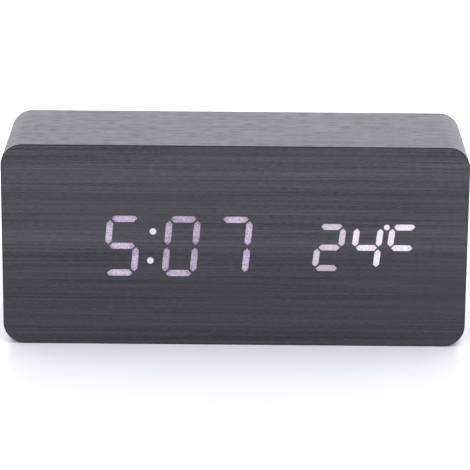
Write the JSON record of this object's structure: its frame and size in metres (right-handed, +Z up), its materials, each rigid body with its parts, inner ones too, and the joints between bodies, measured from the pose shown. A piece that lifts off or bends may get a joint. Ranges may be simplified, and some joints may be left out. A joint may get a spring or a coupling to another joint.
{
  "type": "digital led desk clock",
  "caption": "Wood-grain block desk clock with slanted LED digits for time and temperature shining through its face, rear keys, power jack and battery door.",
  "frame": {"origin": "middle of the underside, on the surface that the clock stands on", "axes": "+X along the case to the right of someone facing the display, +Y from the face to the back, +Z up"},
  "size_m": [0.15, 0.045, 0.067],
  "materials": {
    "wood_film": "satin wood-grain film",
    "raw_board": "bare fibre board",
    "lit_window": "film lit from behind",
    "unlit_window": "film with nothing lit behind it",
    "milky_sheet": "milky",
    "mask_white": "moulded",
    "circuit_board": "solder-masked",
    "led_white": "moulded lens",
    "chip_black": "moulded",
    "screw_steel": "zinc plated",
    "nickel": "nickel plated",
    "can_metal": "drawn can",
    "ribbon_grey": "flat cable",
    "lead_cover": "insulated wire",
    "cover_black": "fine moulded texture",
    "key_black": "satin moulded",
    "jack_black": "moulded",
    "pin_brass": "plated",
    "bead_glass": "coated bead",
    "cell_can": "printed sleeve"
  },
  "bodies": {
    "case": {"case_sleeve": "wood_film", "front_board": "raw_board", "front_film": "wood_film", "lit_time_windows": "lit_window", "lit_colon_windows": "lit_window", "lit_temperature_windows": "lit_window", "lit_degree_window": "lit_window", "unlit_windows": "unlit_window", "diffuser_sheet": "milky_sheet", "segment_mask": "mask_white", "display_board": "circuit_board", "segment_leds": "led_white", "display_board_screws": "screw_steel", "controller_chip": "chip_black", "driver_chips": "chip_black", "clock_crystal": "can_metal", "buzzer": "chip_black", "ribbon_headers": "chip_black", "ribbon_cable": "ribbon_grey", "corner_blocks": "raw_board", "rear_cover": "cover_black", "rear_cover_screws": "screw_steel", "aaa_cells": "cell_can", "battery_springs": "nickel", "battery_contacts": "nickel", "battery_wires": "lead_cover", "key_board": "circuit_board", "key_board_screws": "screw_steel", "key_switches": "chip_black", "dc_jack": "jack_black", "dc_jack_pin": "pin_brass", "microphone": "can_metal", "temperature_sensor": "bead_glass"},
    "set_key": {"set_button": "key_black", "set_plunger": "chip_black"},
    "up_key": {"up_button": "key_black", "up_plunger": "chip_black"},
    "down_key": {"down_button": "key_black", "down_plunger": "chip_black"},
    "door": {"battery_door": "cover_black"}
  },
  "joints": [
    {"name": "set_key_press", "type": "slide", "parent": "case", "child": "set_key", "axis": [0, -1, 0], "range_m": [0, 0.0005], "stiffness_N_per_m": 400, "springref_m": -0.0015},
    {"name": "up_key_press", "type": "slide", "parent": "case", "child": "up_key", "axis": [0, -1, 0], "range_m": [0, 0.0005], "stiffness_N_per_m": 400, "springref_m": -0.0015},
    {"name": "down_key_press", "type": "slide", "parent": "case", "child": "down_key", "axis": [0, -1, 0], "range_m": [0, 0.0005], "stiffness_N_per_m": 400, "springref_m": -0.0015},
    {"name": "battery_door_swing", "type": "hinge", "parent": "case", "child": "door", "pos_m": [0.03222, 0.02055, 0.0162], "axis": [-1, 0, 0], "range_deg": [0, 85]}
  ]
}
